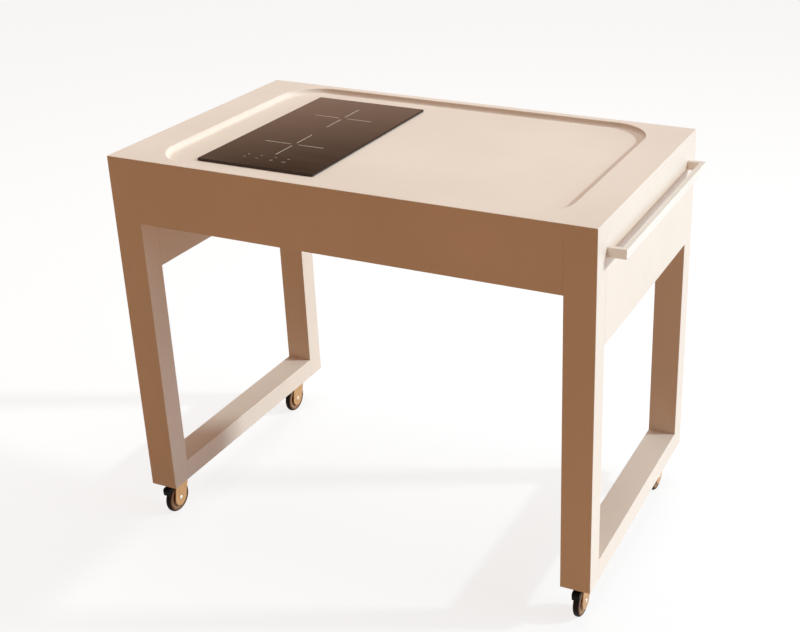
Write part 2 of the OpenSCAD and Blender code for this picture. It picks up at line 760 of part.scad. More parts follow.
module pedal(corner) color("#141414") at_castor(corner) along_x(2 * (cheek_in - pass_clear))
    difference() {
        union() {
            translate(pedal_pin) circle(barrel_r);
            difference() {
                polygon(concat([pedal_pin + [0, barrel_r]], PEDAL_POINTS));
                tyre_clearance();
            }
        }
        translate(pedal_pin) circle(pedal_pin_r + run_clear);
    }

placed() worktop();
placed() cross_apron(-1);  // front_apron
placed() cross_apron(1);  // rear_apron
placed() side_apron(-1);  // left_apron
placed() right_apron();
placed() bottom_rail(-1);  // left_bottom_rail
placed() bottom_rail(1);  // right_bottom_rail
placed() corner_braces();
placed() bearer(0);  // bearer_left
placed() bearer(1);  // bearer_middle
placed() bearer(2);  // bearer_right
placed() cover_batten(-1);  // batten_front
placed() cover_batten(1);  // batten_rear
placed() base_cover();
placed() cover_screws();
placed() cable_gland();
placed() hob_glass();
placed() hob_seal();
placed() hob_tray();
placed() hob_clamps();
placed() coil_plate();
placed() coil_front();
placed() coil_rear();
placed() power_board();
placed() terminal_block();
placed() touch_board();
placed() fan_housing();
placed() fan_rotor();
placed() towel_rail();
placed() rail_screws();
placed() castor_screws();
for (c = CORNERS) {
    placed() leg(c);
    placed() plate(c);
    placed() fork(c);
    placed() axle(c);
    placed() wheel(c);
    placed() tyre(c);
    placed() pedal(c);
}
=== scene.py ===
# %% [markdown]
# # A mobile kitchen island
#
# The real thing is an open frame on four castors, made of cream solid-surface sheet. Its worktop has
# a shallow coved recess with a black glass hob in it, and a square towel rail runs along one side.
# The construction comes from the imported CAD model, in metres, with the origin on the floor under the
# middle. This script keeps every piece where the CAD has it and gives it edges, fillets and a finish.

import json
import math

import bmesh
import bpy
from mathutils import Matrix, Vector


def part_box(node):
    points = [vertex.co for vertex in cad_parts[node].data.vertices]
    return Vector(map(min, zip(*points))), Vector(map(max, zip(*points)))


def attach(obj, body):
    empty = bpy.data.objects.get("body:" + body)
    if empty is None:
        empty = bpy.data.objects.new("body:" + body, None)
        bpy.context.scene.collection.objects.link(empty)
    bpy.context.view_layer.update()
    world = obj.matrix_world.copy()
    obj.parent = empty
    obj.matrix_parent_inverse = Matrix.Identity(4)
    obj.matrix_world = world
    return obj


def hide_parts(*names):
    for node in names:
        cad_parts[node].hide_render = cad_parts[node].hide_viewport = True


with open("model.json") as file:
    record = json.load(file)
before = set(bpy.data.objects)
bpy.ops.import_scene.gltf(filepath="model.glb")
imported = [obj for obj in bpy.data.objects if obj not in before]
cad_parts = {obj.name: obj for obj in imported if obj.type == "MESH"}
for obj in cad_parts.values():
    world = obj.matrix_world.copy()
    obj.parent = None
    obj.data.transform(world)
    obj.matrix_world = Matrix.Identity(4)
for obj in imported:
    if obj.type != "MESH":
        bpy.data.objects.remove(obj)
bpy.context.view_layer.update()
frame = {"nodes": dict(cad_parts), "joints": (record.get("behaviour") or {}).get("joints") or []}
joint_at = {joint["name"]: Vector(joint["pos_m"]) for joint in frame["joints"]}
CORNERS = ("front_left", "front_right", "rear_left", "rear_right")
MM = 0.001

# %% [markdown]
# ## The camera
#
# A photograph of a box fixes its camera: the corners of the frame and the hob gave the distance, the
# height, the focal length and the point that the lens looks at. The unit stands left of that point,
# so the lens is shifted instead of turned, which keeps the uprights as they are.

# %% Place the camera
PHOTO_SIZE = (800, 632)
FOCAL_PX = 1287.0
LENS_AXIS_PX = (531.9, 282.3)
SENSOR_MM = 36.0
CAMERA_AT = (1.266, -2.424, 1.796)
AZIMUTH, ELEVATION = math.radians(22.33), math.radians(24.05)

camera_data = bpy.data.cameras.new("camera")
camera_data.sensor_width = SENSOR_MM
camera_data.lens = FOCAL_PX * SENSOR_MM / PHOTO_SIZE[0]
camera_data.shift_x = (PHOTO_SIZE[0] / 2 - LENS_AXIS_PX[0]) / PHOTO_SIZE[0]
camera_data.shift_y = (LENS_AXIS_PX[1] - PHOTO_SIZE[1] / 2) / PHOTO_SIZE[0]
camera = bpy.data.objects.new("camera", camera_data)
bpy.context.scene.collection.objects.link(camera)
camera.location = CAMERA_AT
look = Vector((-math.sin(AZIMUTH) * math.cos(ELEVATION), math.cos(AZIMUTH) * math.cos(ELEVATION),
               -math.sin(ELEVATION)))
camera.rotation_euler = look.to_track_quat("-Z", "Y").to_euler()
bpy.context.scene.camera = camera
print("lens", round(camera_data.lens, 2), "mm")

# %% [markdown]
# ## Writing shaders as expressions
#
# A finish is a handful of noises, mixed and scaled. Wired by hand that is a page of node calls, so
# one small class stands for a socket: sums and products of it add Math nodes, and everything else
# goes through `node`, which sets a node's settings first and then its sockets.

# %% A socket that can be calculated with
NOISE_FROM, NOISE_SPAN = 0.35, 0.3


class Wire:
    """An output socket of a shader tree, or the tree itself where it has no socket."""

    def __init__(self, tree, socket=None):
        self.tree, self.socket = tree, socket

    def node(self, kind, settings=None, sockets=None, out=0):
        """Add any node: first its settings, such as a ramp's stops, then its sockets."""
        node = self.tree.nodes.new("ShaderNode" + kind)
        for name, value in (settings or {}).items():
            if name == "stops":
                while len(node.color_ramp.elements) < len(value):
                    node.color_ramp.elements.new(0.5)
                for element, (place, colour) in zip(node.color_ramp.elements, value):
                    element.position, element.color = place, colour
            else:
                setattr(node, name, value)
        for name, value in (sockets or {}).items():
            if isinstance(value, Wire):
                value.into(node.inputs[name])
            else:
                node.inputs[name].default_value = value
        return node if out is None else Wire(self.tree, node.outputs[out])

    def into(self, socket):
        self.tree.links.new(self.socket, socket)

    def math(self, operation, first, second):
        return self.node("Math", {"operation": operation}, {0: first, 1: second})

    def __add__(self, other):
        return self.math("ADD", self, other)

    def __sub__(self, other):
        return self.math("SUBTRACT", self, other)

    def __rsub__(self, other):
        return self.math("SUBTRACT", other, self)

    def __mul__(self, other):
        return self.math("MULTIPLY", self, other)

    def __pow__(self, other):
        return self.math("POWER", self, other)

    __radd__, __rmul__ = __add__, __mul__

    def spread(self, low, high):
        """Noise stays near the middle of 0 to 1: map that middle onto low to high."""
        return (self - NOISE_FROM) * ((high - low) / NOISE_SPAN) + low


# %% Colours, noises and a finish to put them in
def srgb(red, green, blue):
    """A colour picked on screen, 0 to 255, as the linear colour that a shader wants."""
    parts = [v / 255 for v in (red, green, blue)]
    return (*[v / 12.92 if v <= 0.04045 else ((v + 0.055) / 1.055) ** 2.4 for v in parts], 1)


class Finish:
    """A material with its Principled shader and the object's own coordinates in metres."""

    def __init__(self, name, settings=None):
        self.material = bpy.data.materials.new(name)
        self.material.use_nodes = True
        self.tree = Wire(self.material.node_tree)
        self.shader = self.material.node_tree.nodes["Principled BSDF"]
        for socket, value in (settings or {}).items():
            self.shader.inputs[socket].default_value = value
        self.place = self.tree.node("TexCoord", out=3)

    def stretched(self, by_axis):
        """The object's coordinates, multiplied axis by axis."""
        return self.tree.node("VectorMath", {"operation": "MULTIPLY"}, {0: self.place, 1: by_axis})

    def noise(self, scale, detail=3.0, roughness=0.5, stretch=None):
        """Noise from 0 to 1 with features about 1 / scale metres across, or stretched by axis."""
        place = self.stretched(stretch) if stretch else self.place
        return self.tree.node("TexNoise", None, {"Vector": place, "Scale": scale, "Detail": detail,
                                                 "Roughness": roughness})

    def blend(self, amount, first, second):
        """A colour between two others."""
        return self.tree.node("Mix", {"data_type": "RGBA"}, {0: amount, 6: first, 7: second}, out=2)

    def paint(self, **looks):
        """Link what changes over the surface, such as Base_Color, to the shader."""
        for socket, wire in looks.items():
            wire.into(self.shader.inputs[socket.replace("_", " ")])

    def emboss(self, height, depth, strength=0.6):
        """Let a height from 0 to 1 raise the surface by a depth in metres."""
        self.paint(Normal=self.tree.node("Bump", None, {"Height": height, "Distance": depth,
                                                        "Strength": strength}))


print("shader helpers ready")

# %% [markdown]
# ## Cream solid surface
#
# The frame and worktop are one material: acrylic stone, sanded to a satin finish. Close up it has a
# very fine mineral speckle, and over a hand's width the tone drifts a little. The sanding leaves the
# gloss slightly uneven and a trace of fine bump, so the highlights don't look like plastic.

# %% Solid surface
def solid_surface(name, tone, gloss):
    finish = Finish(name, {"IOR": 1.5, "Specular IOR Level": 0.35})
    cloud = finish.noise(2.6, 4.0).spread(0.0, 1.0)
    speckle = finish.noise(900.0, 2.0)
    sanding = finish.noise(60.0, 5.0, 0.65)
    drifted = finish.blend(cloud, srgb(*[v - 4 for v in tone]), srgb(*[v + 3 for v in tone]))
    grains = finish.tree.node("ValToRGB", {"stops": [(0.30, (1, 1, 1, 1)), (0.40, (0, 0, 0, 1))]},
                              {0: speckle})
    finish.paint(Base_Color=finish.blend(grains * 0.35, drifted, srgb(*[v * 0.88 for v in tone])),
                 Roughness=sanding.spread(gloss - 0.05, gloss + 0.06))
    finish.emboss(sanding * 0.7 + speckle * 0.3, 0.00006)
    return finish.material


CREAM = (228, 211, 196)
cream = solid_surface("cream_solid_surface", CREAM, 0.42)
cream_inside = solid_surface("cream_cover_panel", (216, 198, 181), 0.55)
print("solid surface", CREAM)

# %% [markdown]
# ## Painted rail, glass, foam and print
#
# The towel rail is powder coated close to the worktop's cream. The coat holds a little metal flake,
# which brightens it, and has a soft orange peel. The hob's glass ceramic is nearly black and mirror
# smooth, with the faint smears that wiping leaves in the gloss only. Its zone marks are fired enamel,
# a warm grey that is a touch uneven.

# %% Painted metal, glass ceramic, foam and enamel
def powder_coat():
    finish = Finish("cream_powder_coat", {"IOR": 1.5, "Metallic": 0.4})
    peel = finish.noise(420.0, 1.0)
    drift = finish.noise(9.0).spread(0.0, 1.0)
    finish.paint(Base_Color=finish.blend(drift, srgb(233, 222, 210), srgb(239, 229, 218)),
                 Roughness=peel.spread(0.34, 0.42))
    finish.emboss(peel, 0.00008)
    return finish.material


def glass_ceramic():
    finish = Finish("black_glass_ceramic", {"IOR": 1.5, "Specular IOR Level": 0.5,
                                            "Specular Tint": (1.0, 0.93, 0.88, 1)})
    wiped = finish.noise(1.0, 5.0, 0.6, stretch=(5.0, 22.0, 5.0))
    fleck = finish.noise(1500.0, 1.0).spread(0.0, 1.0)
    finish.paint(Base_Color=finish.blend(fleck, srgb(26, 16, 10), srgb(38, 24, 16)),
                 Roughness=wiped.spread(0.05, 0.10))
    finish.emboss(wiped, 0.00002, 0.2)
    return finish.material


def grained(name, dark, light, scale, roughness, depth, settings=None):
    """A moulded or foamed material: two close tones and a grain that also roughens it."""
    finish = Finish(name, settings)
    grain = finish.noise(scale, 3.0, 0.6)
    drift = finish.noise(scale / 25)
    tone = (drift * 0.6 + grain * 0.4).spread(0.0, 1.0)
    finish.paint(Base_Color=finish.blend(tone, srgb(*dark), srgb(*light)),
                 Roughness=grain.spread(roughness - 0.06, roughness + 0.08))
    finish.emboss(grain, depth)
    return finish.material


coated = powder_coat()
glass = glass_ceramic()
foam = grained("dark_foam", (22, 19, 17), (36, 32, 29), 900.0, 0.85, 0.0002)
enamel = grained("fired_enamel", (176, 162, 150), (206, 194, 182), 700.0, 0.45, 0.00003)
print("finishes so far", len(bpy.data.materials))

# %% [markdown]
# ## Castor finishes
#
# The forks are pressed steel with a yellow passivate, the colour of pale brass: it is metal, with a
# mottled gloss from the bath and fine drawing lines. The tyre is soft dark rubber. Its side walls are
# painted a lighter brown, which is painted light, while the tread stays dark. The wheel centre is a
# golden brown moulding and the pedal black nylon.

# %% Passivated steel, bright steel, rubber and nylon
def plated(name, dark, light, roughness, lines=0.35):
    """Plated metal: mottled tone, gloss that varies with it and fine lines of the drawing."""
    finish = Finish(name, {"Metallic": 1.0})
    mottle = finish.noise(140.0, 4.0, 0.6)
    drawn = finish.noise(1.0, 2.0, stretch=(900.0, 900.0, 60.0))
    sheen = mottle * (1 - lines) + drawn * lines
    finish.paint(Base_Color=finish.blend(mottle.spread(0.0, 1.0), srgb(*dark), srgb(*light)),
                 Roughness=sheen.spread(roughness - 0.07, roughness + 0.08))
    finish.emboss(drawn, 0.00003, 0.4)
    return finish.material


def tyre_rubber():
    """Dark rubber with painted light: where the tyre faces sideways it is painted a lit brown."""
    finish = Finish("tyre_rubber", {"IOR": 1.45, "Specular IOR Level": 0.12})
    rubber_patches = finish.noise(90.0, 5.0, 0.65)
    grain = finish.noise(1400.0, 2.0)
    sideways = finish.tree.node("SeparateXYZ", None, {0: finish.tree.node("TexCoord", out=1)}, out=0)
    # Painted light: faces that point along the axle get a lit brown, and the tread keeps the dark
    # rubber.
    painted_light_mask = finish.tree.node("MapRange", None, {0: sideways * sideways, 1: 0.5, 2: 0.98})
    tread = finish.blend(rubber_patches.spread(0.0, 1.0), srgb(20, 13, 9), srgb(36, 24, 17))
    painted_lit_side = finish.blend(rubber_patches.spread(0.0, 1.0), srgb(118, 86, 64), srgb(150, 114, 88))
    finish.paint(Base_Color=finish.blend(painted_light_mask, tread, painted_lit_side), Roughness=rubber_patches.spread(0.5, 0.65))
    finish.emboss(grain * 0.5 + rubber_patches * 0.5, 0.00008)
    return finish.material


golden = plated("yellow_passivated_steel", (198, 152, 106), (212, 168, 122), 0.42)
bright = plated("bright_steel", (226, 212, 194), (244, 232, 216), 0.32)
zinc = plated("zinc_sheet", (150, 150, 150), (188, 188, 186), 0.42)
aluminium = plated("aluminium_sheet", (176, 178, 180), (204, 206, 208), 0.34, 0.6)
copper = plated("wound_copper", (128, 74, 42), (176, 108, 64), 0.38)
rubber = tyre_rubber()
centre_plastic = grained("wheel_centre_moulding", (150, 112, 80), (176, 136, 100), 500.0, 0.5,
                         0.00005)
nylon = grained("black_nylon", (9, 8, 7), (16, 14, 12), 1100.0, 0.55, 0.00006,
                {"Specular IOR Level": 0.08})
ivory = grained("ivory_moulding", (206, 200, 182), (222, 216, 198), 500.0, 0.5, 0.00004)
print("castor and inner finishes made")

# %% [markdown]
# ## Hidden materials
#
# The bearers under the worktop are planed softwood, whose rings show as long stripes, and the boards
# inside the hob are green laminate with a lattice of tracks. They are seldom seen, but a part that is
# opened or looked at from below should hold up.

# %% Softwood and circuit board
def softwood():
    finish = Finish("planed_softwood", {"IOR": 1.45})
    wander = finish.noise(6.0)
    waves = finish.tree.node("TexWave", {"bands_direction": "Z"}, {
        "Vector": finish.stretched((40.0, 2.0, 90.0)), "Scale": 0.6, "Distortion": 5.0, "Detail": 3.0})
    rings = (waves * 0.8 + wander * 0.2) ** 1.6
    fibres = finish.noise(1.0, 3.0, stretch=(500.0, 12.0, 500.0))
    finish.paint(Base_Color=finish.blend(rings, srgb(206, 170, 122), srgb(168, 126, 80)),
                 Roughness=fibres.spread(0.55, 0.7))
    finish.emboss(fibres * 0.6 + rings * 0.4, 0.0002)
    return finish.material


def circuit_board():
    finish = Finish("green_circuit_board", {"Coat Weight": 0.4})
    tracks = finish.tree.node("TexBrick", {"offset": 0.37}, {
        "Vector": finish.place, "Scale": 90.0, "Mortar Size": 0.03, "Color1": (0, 0, 0, 1),
        "Color2": (0, 0, 0, 1), "Mortar": (1, 1, 1, 1)}, out=1)
    drift = finish.noise(40.0).spread(0.0, 1.0)
    green = finish.blend(drift, srgb(14, 62, 34), srgb(22, 80, 44))
    finish.paint(Base_Color=finish.blend(tracks * 0.6, green, srgb(64, 122, 76)),
                 Roughness=drift * 0.1 + 0.3)
    finish.emboss(tracks, 0.00005)
    return finish.material


timber = softwood()
board = circuit_board()
print("materials", len(bpy.data.materials))

# %% [markdown]
# ## Turning points into pieces
#
# Every visible piece is built from points: a shell through a stack of rings, a prism from an outline,
# or a lathe turning. A CAD solid has perfectly sharp edges, while a real one catches a line of light
# on each. So the edges get a small round afterwards, by a bevel modifier that reads a weight per
# edge.

# %% Outlines and solids
TOUCHING = 1e-6


def round_corners(half_x, half_y, radius, steps, centre=(0.0, 0.0)):
    """Points round a rectangle with round corners, anticlockwise from the +X side."""
    points = []
    for turn, (side_x, side_y) in enumerate([(1, 1), (-1, 1), (-1, -1), (1, -1)]):
        for step in range(steps + 1):
            angle = math.radians(90 * (turn + step / steps))
            points.append((centre[0] + side_x * (half_x - radius) + radius * math.cos(angle),
                           centre[1] + side_y * (half_y - radius) + radius * math.sin(angle)))
    return points


def at_height(outline, height):
    return [Vector((x, y, height)) for x, y in outline]


def shell(rings, closed=False):
    """Quads between equal rings. Closed joins the last to the first; otherwise both are capped."""
    mesh = bmesh.new()
    loops = [[mesh.verts.new(point) for point in ring] for ring in rings]
    pairs = list(zip(loops, loops[1:])) + ([(loops[-1], loops[0])] if closed else [])
    for lower, upper in pairs:
        for i in range(len(lower)):
            j = (i + 1) % len(lower)
            mesh.faces.new((lower[i], lower[j], upper[j], upper[i]))
    if not closed:
        mesh.faces.new(reversed(loops[0]))
        mesh.faces.new(loops[-1])
    return mesh


def prism(outline, start, end, axis):
    """An outline pulled along X (points are y, z), along Y (x, z) or along Z (x, y)."""
    def lift(point, depth):
        return Vector({"X": (depth, *point), "Y": (point[0], depth, point[1]),
                       "Z": (*point, depth)}[axis])
    mesh = shell([[lift(point, depth) for point in outline] for depth in (start, end)])
    bmesh.ops.recalc_face_normals(mesh, faces=mesh.faces)
    return mesh


def lathe(profile, axis, centre, steps=96):
    """A closed profile of (along, radius) points, turned about X or Z through a centre."""
    rings = []
    for step in range(steps):
        angle = 2 * math.pi * step / steps
        cos, sin = math.cos(angle), math.sin(angle)
        rings.append([Vector(centre) + Vector({"X": (along, radius * cos, radius * sin),
                                               "Z": (radius * cos, radius * sin, along)}[axis])
                      for along, radius in profile])
    mesh = shell(rings, closed=True)
    bmesh.ops.remove_doubles(mesh, verts=mesh.verts, dist=TOUCHING)
    bmesh.ops.recalc_face_normals(mesh, faces=mesh.faces)
    return mesh


def block(low, high):
    outline = [(low[0], low[1]), (high[0], low[1]), (high[0], high[1]), (low[0], high[1])]
    return prism(outline, low[2], high[2], "Z")


def arc(centre, radius, start, end, steps):
    """Points on an arc, angles in degrees."""
    angles = [math.radians(start + (end - start) * i / steps) for i in range(steps + 1)]
    return [(centre[0] + radius * math.cos(a), centre[1] + radius * math.sin(a)) for a in angles]


def merge(*meshes):
    """Several loose solids as one mesh."""
    whole = bmesh.new()
    for mesh in meshes:
        scratch = bpy.data.meshes.new("scratch")
        mesh.to_mesh(scratch)
        mesh.free()
        whole.from_mesh(scratch)
        bpy.data.meshes.remove(scratch)
    return whole


# %% Making a mesh into a finished piece
SMOOTH_BELOW = math.radians(38)
SAME_PLANE = math.radians(0.5)
SAME_POINT = 0.00001


def soften(thing, width, weight_of=None, segments=3):
    """Round the sharp edges. weight_of(middle of an edge) gives its share of the width."""
    mesh = bmesh.new()
    mesh.from_mesh(thing.data)
    weights = mesh.edges.layers.float.get("bevel_weight_edge") or mesh.edges.layers.float.new(
        "bevel_weight_edge")
    for edge in mesh.edges:
        sharp = len(edge.link_faces) == 2 and edge.calc_face_angle(0.0) > SMOOTH_BELOW
        middle = (edge.verts[0].co + edge.verts[1].co) / 2
        edge[weights] = (weight_of(middle) if weight_of else 1.0) if sharp else 0.0
    mesh.to_mesh(thing.data)
    mesh.free()
    bevel = thing.modifiers.new("soft_edges", "BEVEL")
    bevel.limit_method, bevel.width, bevel.segments = "WEIGHT", width, segments
    bevel.use_clamp_overlap = True
    shade(thing)


def keep_flat(thing):
    """Large flat faces stay flat beside their rounded edges."""
    normals = thing.modifiers.new("flat_faces", "WEIGHTED_NORMAL")
    normals.keep_sharp, normals.weight = True, 100


def shade(thing):
    """Smooth shading that stops at real edges."""
    thing.data.polygons.foreach_set("use_smooth", [True] * len(thing.data.polygons))
    thing.data.set_sharp_from_angle(angle=SMOOTH_BELOW)
    keep_flat(thing)


def piece(name, mesh, finish, body, nodes=(), edge=0.0, weight_of=None, segments=3):
    """A shown piece that rides on a body and, where nodes are named, stands for them."""
    data = bpy.data.meshes.new(name)
    mesh.to_mesh(data)
    mesh.free()
    thing = bpy.data.objects.new(name, data)
    bpy.context.scene.collection.objects.link(thing)
    data.materials.append(finish)
    if edge:
        soften(thing, edge, weight_of, segments)
    else:
        shade(thing)
    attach(thing, body)
    if nodes:
        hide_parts(*nodes)
    return thing


def dress(node, finish, slot, edge=0.0):
    """A CAD node that keeps its shape: its mesh is welded, its flat faces joined, its edges eased."""
    thing = frame["nodes"][node]
    thing.data.materials.clear()
    thing.data.materials.append(finish)
    weld = thing.modifiers.new("weld", "WELD")
    weld.merge_threshold = SAME_POINT
    flat = thing.modifiers.new("join_flat_faces", "DECIMATE")
    flat.decimate_type, flat.angle_limit = "DISSOLVE", SAME_PLANE
    if edge:
        bevel = thing.modifiers.new("soft_edges", "BEVEL")
        bevel.limit_method, bevel.angle_limit = "ANGLE", SMOOTH_BELOW
        bevel.width, bevel.segments = edge, 2
    keep_flat(thing)


print("helpers ready")

# %% [markdown]
# ## The worktop
#
# One slab with a rounded rim, a recess with R100 corners, a cove that lets it be wiped, and the
# cut-out for the hob. It is modelled as a stack of rings: up the outer edge, over the rim,
# down the wall, round the cove, across the floor and down through the cut-out. Boolean cuts would
# leave ragged faces just where the cove catches the light, so the rings are joined directly.

# %% Worktop
top_low, top_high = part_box("worktop")
glass_low, glass_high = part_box("hob_glass")
middle = ((top_low.x + top_high.x) / 2, (top_low.y + top_high.y) / 2)
half_w, half_d = (top_high.x - top_low.x) / 2, (top_high.y - top_low.y) / 2
EDGE_ROUND = 1.0 * MM
SIDE_BORDER, END_BORDER = 88 * MM, 21 * MM
RECESS_R, RECESS_DEPTH, COVE_R, RIM_ROUND = 100 * MM, 12 * MM, 10 * MM, 1.5 * MM
CUTOUT, CUTOUT_R = (134 * MM, 245 * MM), 3 * MM
CORNER_STEPS = 24
recess_half = (half_w - SIDE_BORDER, half_d - END_BORDER)
hob_middle = ((glass_low.x + glass_high.x) / 2, (glass_low.y + glass_high.y) / 2)


def outer_ring(inset, height):
    outline = round_corners(half_w - inset, half_d - inset, EDGE_ROUND * 1.5 - inset, CORNER_STEPS,
                            middle)
    return at_height(outline, height)


def recess_ring(inset, height):
    outline = round_corners(recess_half[0] - inset, recess_half[1] - inset, RECESS_R - inset,
                            CORNER_STEPS, middle)
    return at_height(outline, height)


def quarter(steps):
    """(sine, 1 - cosine) pairs of a quarter turn, to round an edge with."""
    return [(math.sin(math.pi / 2 * i / steps), 1 - math.cos(math.pi / 2 * i / steps))
            for i in range(steps + 1)]


def worktop_rings():
    floor = top_high.z - RECESS_DEPTH
    cutout = round_corners(*CUTOUT, CUTOUT_R, CORNER_STEPS, hob_middle)
    rings = [at_height(cutout, top_low.z), outer_ring(0, top_low.z)]
    rings += [outer_ring(EDGE_ROUND * rise, top_high.z - EDGE_ROUND * (1 - run))
              for run, rise in quarter(4)]
    rings += [recess_ring(-RIM_ROUND * (1 - run), top_high.z - RIM_ROUND * rise)
              for run, rise in quarter(4)]
    rings += [recess_ring(COVE_R * rise, floor + COVE_R * (1 - run)) for run, rise in quarter(8)]
    rings.append(at_height(cutout, floor))
    return rings


worktop = piece("worktop_shell", shell(worktop_rings(), closed=True), cream, "frame",
                ["worktop"])
print("worktop", len(worktop.data.polygons), "faces")

# %% [markdown]
# ## Legs, aprons and bottom rails
#
# These are box sections glued up from sheet, so each shows as a plain bar with crisp edges. Where two
# bars meet in one plane the joint is filled and sanded and only a hairline shows: those edges get a
# third of the round, and the edges that touch the worktop get none, so the top reads as one block.

# %% Frame bars
FRAME_BARS = [f"leg_{corner}" for corner in CORNERS] + [
    "front_apron", "rear_apron", "left_apron", "right_apron", "left_bottom_rail", "right_bottom_rail"]
HAIRLINE = 0.25
SEAM = 0.5 * MM


def frame_bar(node):
    low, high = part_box(node)
    along = 0 if node in ("front_apron", "rear_apron") else 1
    if not node.startswith("leg_"):
        low[along] -= SEAM
        high[along] += SEAM

    def weight_of(edge):
        if edge.z > high.z - MM and high.z > top_low.z - MM:
            return 0.0
        if node.startswith("leg_"):
            outside = abs(edge.x - middle[0]) > half_w - MM and abs(edge.y - middle[1]) > half_d - MM
            return 1.0 if outside or edge.z < low.z + MM else HAIRLINE * 2
        at_end = min(edge[along] - low[along], high[along] - edge[along]) < MM
        return HAIRLINE if at_end else 1.0

    piece(f"{node}_bar", block(low, high), cream, "frame", [node], EDGE_ROUND,
          weight_of)


for node in FRAME_BARS:
    frame_bar(node)
print("bars", len(FRAME_BARS))

# %% [markdown]
# ## The towel rail
#
# A flat bar, bent square at both ends and screwed on from inside. Seen from above it is a plain U, so
# the outline is drawn once in plan and pulled up to the bar's height. The bends are mitred and welded,
# with only the edges eased.

# %% Towel rail
RAIL_T = 12 * MM
rail_low, rail_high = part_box("towel_rail")
rail_outline = [
    (rail_low.x, rail_low.y), (rail_high.x, rail_low.y), (rail_high.x, rail_high.y),
    (rail_low.x, rail_high.y), (rail_low.x, rail_high.y - RAIL_T),
    (rail_high.x - RAIL_T, rail_high.y - RAIL_T), (rail_high.x - RAIL_T, rail_low.y + RAIL_T),
    (rail_low.x, rail_low.y + RAIL_T)]


def towel_rail_weight(edge):
    return 0.0 if edge.x < rail_low.x + MM else 1.0


piece("towel_rail_bar", prism(rail_outline, rail_low.z, rail_high.z, "Z"), coated, "frame",
      ["towel_rail"], 0.8 * MM, towel_rail_weight)
print("rail length", round(rail_high.y - rail_low.y, 3))

# %% [markdown]
# ## The hob's glass and its marks
#
# A 4 mm glass plate with a pencil-ground edge, whose upper arris is round. On it are a four-armed
# cross for each zone and a row of touch signs. They are printed on the real one, so they are flat
# shapes a tenth of a millimetre thick, laid on the glass.

# %% Glass plate
GLASS_CORNER, PENCIL_EDGE, UNDER_EDGE = 4 * MM, 1.4 * MM, 0.3 * MM
glass_half = ((glass_high.x - glass_low.x) / 2, (glass_high.y - glass_low.y) / 2)


def glass_ring(inset, height):
    outline = round_corners(glass_half[0] - inset, glass_half[1] - inset, GLASS_CORNER - inset, 8,
                            hob_middle)
    return at_height(outline, height)


glass_rings = [glass_ring(UNDER_EDGE, glass_low.z), glass_ring(0, glass_low.z + UNDER_EDGE)]
glass_rings += [glass_ring(PENCIL_EDGE * rise, glass_high.z - PENCIL_EDGE * (1 - run))
                for run, rise in quarter(5)]
piece("hob_glass_plate", shell(glass_rings), glass, "frame", ["hob_glass"])
print("glass", [round(2000 * v) for v in glass_half], "mm")

# %% Zone crosses and touch signs
PRINT_T, LINE_W, THIN_W, LAMP_W = 0.12 * MM, 2.0 * MM, 0.9 * MM, 1.2 * MM
ARM_START, ARM_END = 11 * MM, 74 * MM
ZONES_Y = (-96 * MM, 118 * MM)
SIGNS_X, SIGNS_Y, LAMPS_Y = (-56 * MM, -24 * MM, 12 * MM, 44 * MM), -209 * MM, -190 * MM
POWER_R, POWER_STEM, DASH_HALF, LAMP_HALF = 3.6 * MM, 4.4 * MM, 4 * MM, 2.2 * MM
LOCK_HALF, LOCK_DROP, LOCK_RISE, SHACKLE_R = 3.4 * MM, 3.6 * MM, 1 * MM, 2.4 * MM
print_z = glass_high.z


def stroke(points, width, closed=False):
    """A printed line of one width along points (x, y), from the middle of the hob."""
    meshes = []
    ends = points[1:] + points[:1] if closed else points[1:]
    for start, end in zip(points, ends):
        start, end = Vector(start), Vector(end)
        along = (end - start).normalized() * width / 2
        across = Vector((-along.y, along.x))
        corners = [start - along - across, end + along - across,
                   end + along + across, start - along + across]
        outline = [(hob_middle[0] + c.x, hob_middle[1] + c.y) for c in corners]
        meshes.append(prism(outline, print_z - PRINT_T / 2, print_z + PRINT_T / 2, "Z"))
    return meshes


def zone_cross(y):
    arms = []
    for dx, dy in ((1, 0), (0, 1), (-1, 0), (0, -1)):
        ends = [(dx * reach, y + dy * reach) for reach in (ARM_START, ARM_END)]
        arms += stroke(ends, LINE_W)
    return arms


def ring_sign(x, y, radius, start=0, end=360):
    """Part of a circle as one bent line."""
    return stroke(arc((x, y), radius, start, end, 20), THIN_W)


def touch_signs():
    """Power, less, more and lock, each with a small lamp mark behind it."""
    y = SIGNS_Y
    power, less, more, lock = SIGNS_X
    signs = ring_sign(power, y, POWER_R, 125, 415)
    signs += stroke([(power, y), (power, y + POWER_STEM)], THIN_W)
    for x in (less, more):
        signs += stroke([(x - DASH_HALF, y), (x + DASH_HALF, y)], THIN_W)
    signs += stroke([(more, y - DASH_HALF), (more, y + DASH_HALF)], THIN_W)
    body = [(lock + side * LOCK_HALF, y + height) for side, height in
            ((-1, -LOCK_DROP), (1, -LOCK_DROP), (1, LOCK_RISE), (-1, LOCK_RISE))]
    signs += stroke(body, THIN_W, closed=True) + ring_sign(lock, y + LOCK_RISE, SHACKLE_R, 0, 180)
    for x in SIGNS_X:
        signs += stroke([(x - LAMP_HALF, LAMPS_Y), (x + LAMP_HALF, LAMPS_Y)], LAMP_W)
    return signs


piece("zone_marks", merge(*zone_cross(ZONES_Y[0]), *zone_cross(ZONES_Y[1])), enamel, "frame")
piece("touch_signs", merge(*touch_signs()), enamel, "frame")
print("marks for", len(ZONES_Y), "zones and", len(SIGNS_X), "signs")

# %% [markdown]
# ## Castor forks
#
# A fork is pressed from one blank: a round crown under the ball race, with a bend down on each side
# into two teardrop cheeks. The cheek's outline is a circle about the axle joined to the crown by
# tangents. Cheeks, bent bar and round crown are made as plain solids and united, because a single
# swept section can't end in a teardrop. One fork is made about its swivel axis and the other three
# are copies of its mesh.

